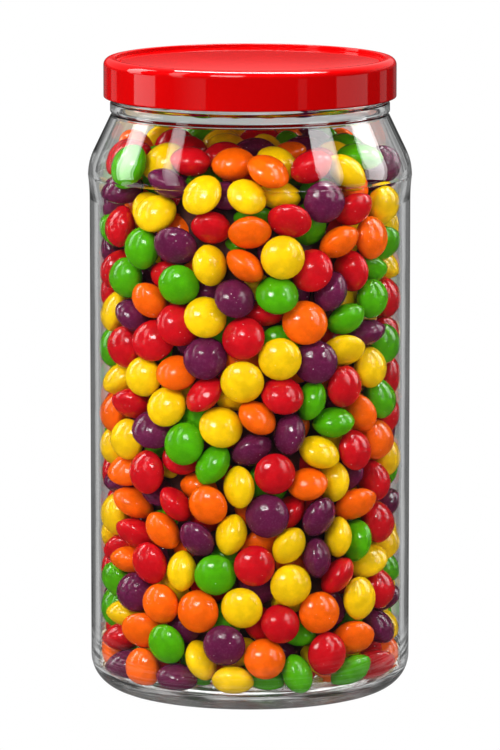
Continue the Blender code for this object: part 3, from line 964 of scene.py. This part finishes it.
def core_mesh(sweet):
    """The lump that fills the middle of the heap, bumpy where it shows between the sweets."""
    radius = HEAP_BOX[1][0] - CORE_SHARE * sweet.shell_depth
    low = HEAP_BOX[0][2] + CORE_BELOW
    high = HEAP_BOX[1][2] - CORE_ABOVE
    profile = [(0.0, high)]
    profile += arc((radius - CORE_ROUNDING, high - CORE_ROUNDING), CORE_ROUNDING, 90, 0, 4)
    steps = 40
    for step in range(1, steps):
        run = (low + 2 * CORE_ROUNDING - high) * step / steps
        profile.append((radius, high - CORE_ROUNDING + run))
    profile += arc((radius - CORE_ROUNDING, low + CORE_ROUNDING), CORE_ROUNDING, 0, -90, 4)
    profile.append((0.0, low))
    mesh = turned_mesh("sweets_core", profile, 72, 180.0)
    for vert in mesh.vertices:
        bumps = math.sin(vert.co.x * 620) * math.sin(vert.co.y * 580) * math.sin(vert.co.z * 540)
        vert.co.xy *= 1 + CORE_BUMPS * bumps
    return mesh


class JAR_OT_glass(bpy.types.Operator):
    """Make the glass jar"""

    bl_idname = "sweet_jar.glass"
    bl_label = "Glass Jar"

    def execute(self, context):
        jar = context.scene.sweet_jar_glass
        mesh = turned_mesh("jar_glass", jar_profile(jar), jar.segments)
        add_thread(mesh, jar)
        piece = to_object("jar_glass", mesh)
        mesh.materials.append(glass_material(tuple(jar.tint)))
        finish_piece(piece, "jar", "clear_glass", LIT_SHELL, LIT_GLASS)
        return {"FINISHED"}


class JAR_OT_lid(bpy.types.Operator):
    """Make the moulded lid"""

    bl_idname = "sweet_jar.lid"
    bl_label = "Lid"

    def execute(self, context):
        lid = context.scene.sweet_jar_lid
        piece = to_object("screw_lid", turned_mesh("screw_lid", lid_profile(lid), lid.segments))
        piece.data.materials.append(lid_material(tuple(lid.colour)))
        finish_piece(piece, "lid", "red_lid", LIT_SHELL, LIT_LID)
        return {"FINISHED"}


class JAR_OT_sweets(bpy.types.Operator):
    """Fill the jar with sweets, one piece for each coat, round a dark core"""

    bl_idname = "sweet_jar.sweets"
    bl_label = "Sweets"

    def execute(self, context):
        jar = context.scene.sweet_jar_glass
        sweet = context.scene.sweet_jar_sweets
        centres, axes, radii, halves = settle_sweets(jar, sweet)
        coats = mix_colours(centres, sweet)
        outward = np.hypot(centres[:, 0], centres[:, 1])
        side_depth = HEAP_BOX[1][0] - outward
        end_depth = np.minimum(HEAP_BOX[1][2] - centres[:, 2], centres[:, 2] - HEAP_BOX[0][2])
        shown = np.minimum(side_depth, end_depth) < sweet.shell_depth
        tree = sweets_tree()
        inputs = [item for item in tree.interface.items_tree if item.in_out == "INPUT"]
        sockets = {item.name: item.identifier for item in inputs}
        for number, name in enumerate(COATS):
            chosen = shown & (coats == number)
            if not chosen.any():
                raise RuntimeError(f"there are no {name} sweets")
            points = points_mesh(
                name + "_points", centres[chosen], axes[chosen], radii[chosen], halves[chosen]
            )
            source = to_object(name + "_points", points)
            maker = source.modifiers.new("sweets", "NODES")
            maker.node_group = tree
            for setting in ("segments", "rings", "lens", "unevenness"):
                maker[sockets[setting.capitalize()]] = getattr(sweet, setting)
            maker[sockets["Material"]] = coat_material(name, tuple(getattr(sweet, name)))
            finish_piece(realized(source, name + "_sweets"), "sweets", name + "_coat")
        core = to_object("sweets_core", core_mesh(sweet))
        core.data.materials.append(core_material())
        finish_piece(core, "sweets", "dark_core")
        return {"FINISHED"}


def light_strength(light):
    """A light's node tree, and the strength socket of its glow."""
    light.use_nodes = True
    tree = light.node_tree
    glow = next(node for node in tree.nodes if node.type == "EMISSION")
    return tree, glow.inputs["Strength"]


def fade_across(light, axis, fade):
    """Takes a share off the light's radiance at the low end of its own X or Y."""
    tree, strength = light_strength(light)
    spot = put(tree, "ShaderNodeNewGeometry").outputs["Parametric"]
    place = split(tree, spot)[axis]
    tree.links.new(band(tree, place, 0.0, 1.0, 1.0 - fade, 1.0), strength)


def softbox(
    name, azimuth, elevation, distance, width, height, radiance, lean=0.0, fade=0.0, receivers=None
):
    """A soft light that faces the jar, placed by degrees from the viewer's side and upwards.

    It leans by degrees in its own plane, fades by a share of its radiance to its lower edge,
    and lights all pieces or only the receivers.
    """
    light = bpy.data.lights.new(name, "AREA")
    light.shape = "RECTANGLE"
    light.size = width
    light.size_y = height
    light.energy = radiance * math.pi * width * height
    if fade:
        fade_across(light, "Y", fade)
    made = bpy.data.objects.new(name, light)
    bpy.context.scene.collection.objects.link(made)
    turn, rise = math.radians(azimuth), math.radians(elevation)
    away = Vector(
        (math.sin(turn) * math.cos(rise), -math.cos(turn) * math.cos(rise), math.sin(rise))
    )
    made.location = Vector(LIGHT_TARGET) + distance * away
    facing = away.to_track_quat("Z", "Y").to_matrix()
    made.rotation_euler = (facing @ Matrix.Rotation(math.radians(lean), 3, "Z")).to_euler()
    if receivers:
        made.light_linking.receiver_collection = receivers
    return made


def keep_to_sweets(light):
    """Lets a light fall only on what is inside the jar, so that glass and lid don't mirror it.

    A ray from the camera has passed two faces of the glass where it meets a sweet, and more
    where the sweet's gloss has sent it on to the light.
    """
    tree, strength = light_strength(light)
    path = put(tree, "ShaderNodeLightPath").outputs
    in_jar = math_node(tree, "COMPARE", path["Transmission Depth"], 2.0)
    direct = math_node(tree, "LESS_THAN", path["Glossy Depth"], 0.5)
    in_jar = times(tree, in_jar, direct)
    leaving = math_node(tree, "GREATER_THAN", path["Transmission Depth"], 2.5)
    mirrored = math_node(tree, "GREATER_THAN", path["Glossy Depth"], 0.5)
    spread = math_node(tree, "LESS_THAN", path["Diffuse Depth"], 0.5)
    highlight = times(tree, leaving, times(tree, mirrored, spread))
    tree.links.new(math_node(tree, "MAXIMUM", in_jar, highlight), strength)


def low_card(name, start, end, radiance, fade):
    """A low light card for the lid's side to mirror, from one azimuth to another.

    It fades by a share of its radiance from its end back to its start.
    """
    width = 2 * CARD_DISTANCE * math.tan(math.radians(0.5 * (end - start)))
    azimuth = 0.5 * (start + end)
    made = softbox(name, azimuth, CARD_ELEVATION, CARD_DISTANCE, width, CARD_HEIGHT, radiance)
    if fade:
        fade_across(made.data, "X", fade)


class JAR_OT_stage(bpy.types.Operator):
    """Set the camera, the white floor, the backdrop and the soft lights"""

    bl_idname = "sweet_jar.stage"
    bl_label = "Stage"

    def execute(self, context):
        scene = context.scene
        stage = scene.sweet_jar_stage
        camera = bpy.data.objects.new("camera", bpy.data.cameras.new("camera"))
        scene.collection.objects.link(camera)
        camera.location = (0.0, -stage.camera_distance, stage.camera_height)
        camera.rotation_euler = (math.pi / 2 - stage.camera_pitch, 0.0, 0.0)
        camera.data.lens = stage.focal_length
        camera.data.clip_end = 20.0
        scene.camera = camera

        half = 0.5 * stage.floor_size
        for name, near, far in (("front floor", -half, 0.0), ("back floor", 0.0, half)):
            floor = bpy.data.meshes.new(name)
            corners = [(-half, near, 0.0), (half, near, 0.0), (half, far, 0.0), (-half, far, 0.0)]
            floor.from_pydata(corners, [], [(0, 1, 2, 3)])
            floor.materials.append(floor_material(name, near == 0.0))
            floor_object = to_object(name, floor)
            floor_object.location.z = -0.0002

        world = bpy.data.worlds.new("soft studio")
        world.use_nodes = True
        tree = world.node_tree
        direction = put(tree, "ShaderNodeTexCoord").outputs["Generated"]
        parts = split(tree, direction)
        behind = band(tree, parts["Y"], 0.1, 0.6)
        horizon = band(tree, parts["Z"], 0.09, 0.14, 0.03, 0.20)
        brighter_right = band(tree, parts["X"], 0.014, 0.026, 1.0, 2.0)
        horizon = times(tree, horizon, brighter_right)
        towards_light = {0: direction, 1: BRIGHTEST_SIDE}
        facing = vector_node(tree, "DOT_PRODUCT", towards_light)["Value"]
        streak = texture(tree, "Noise", flat_part(tree, parts), 9.0, Detail=2.0)[0]
        streak = band(tree, streak, 0.42, 0.58, 0.04, 0.62)
        level = seen_level(
            tree,
            outside=math_node(tree, "MULTIPLY_ADD", behind, horizon, DARK),
            inside=math_node(tree, "MULTIPLY_ADD", behind, streak, DARK),
            through=math_node(tree, "MULTIPLY_ADD", streak, 0.9, 0.34),
            bounced=band(tree, facing, 0.1, 1.0, 0.15, 2.60),
        )
        fill(tree.nodes["Background"], {"Strength": level, "Color": WHITE})
        scene.world = world
        scene.view_settings.view_transform = "Standard"

        shell = bpy.data.collections.new(LIT_SHELL)
        glazed = bpy.data.collections.new(LIT_GLASS)
        capped = bpy.data.collections.new(LIT_LID)
        for name, azimuth, elevation, size, radiance, lean, fade, receivers in (
            ("left side box", -107, 24, (0.27, 0.86), 8.0, 20.0, 0.6, shell),
            ("left front box", -64, 30, (0.17, 1.05), 5.0, 18.0, 0.7, None),
            ("right front box", 63, 26, (0.30, 0.90), 7.0, -12.0, 0.7, glazed),
            ("right side box", 109, 24, (0.36, 0.86), 8.0, -20.0, 0.6, glazed),
        ):
            softbox(name, azimuth, elevation, BOX_DISTANCE, *size, radiance, lean, fade, receivers)
        softbox("top box", 150, 78, 1.00, 1.20, 0.34, 30.0, receivers=shell)
        for key in (
            softbox("key", -28, 34, KEY_DISTANCE, 0.56, 0.38, 13.0),
            softbox("key core", -25, 30, KEY_DISTANCE, 0.14, 0.16, 26.0),
            softbox("second key", 42, 31, KEY_DISTANCE, 0.10, 0.22, 24.0),
        ):
            keep_to_sweets(key.data)
        softbox("lid key", -20, 40, KEY_DISTANCE, 0.50, 0.50, 10.0, receivers=capped)
        for name, start, end, radiance, fade in (
            ("left card", -101, -78, 2.2, 0.0),
            ("left thin card", -138, -127, 0.3, 0.0),
            ("front left card", -60, -34, 0.45, 0.9),
            ("front right card", 37, 44, 0.25, 0.0),
            ("right card", 70, 103, 0.8, 0.0),
            ("right thin card", 121, 133, 0.3, 0.0),
        ):
            low_card(name, start, end, radiance, fade)
        return {"FINISHED"}


class JAR_PT_panel(bpy.types.Panel):
    bl_idname = "JAR_PT_panel"
    bl_label = "Jar of Coated Sweets"
    bl_space_type = "VIEW_3D"
    bl_region_type = "UI"
    bl_category = "Sweets"

    def draw(self, context):
        for operator in OPERATORS:
            self.layout.operator(operator.bl_idname)


OPERATORS = (JAR_OT_stage, JAR_OT_glass, JAR_OT_lid, JAR_OT_sweets)
SETTINGS = {
    "sweet_jar_glass": JarSettings,
    "sweet_jar_lid": LidSettings,
    "sweet_jar_sweets": SweetSettings,
    "sweet_jar_stage": StageSettings,
}


def register():
    for settings in SETTINGS.values():
        bpy.utils.register_class(settings)
    for name, settings in SETTINGS.items():
        setattr(bpy.types.Scene, name, bpy.props.PointerProperty(type=settings))
    for operator in OPERATORS:
        bpy.utils.register_class(operator)
    bpy.utils.register_class(JAR_PT_panel)


def unregister():
    bpy.utils.unregister_class(JAR_PT_panel)
    for operator in reversed(OPERATORS):
        bpy.utils.unregister_class(operator)
    for name, settings in SETTINGS.items():
        delattr(bpy.types.Scene, name)
        bpy.utils.unregister_class(settings)


def main():
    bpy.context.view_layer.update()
    register()
    bpy.ops.sweet_jar.stage()
    bpy.ops.sweet_jar.glass()
    bpy.ops.sweet_jar.lid()
    bpy.ops.sweet_jar.sweets()
    bpy.context.view_layer.update()


if __name__ == "__main__":
    main()
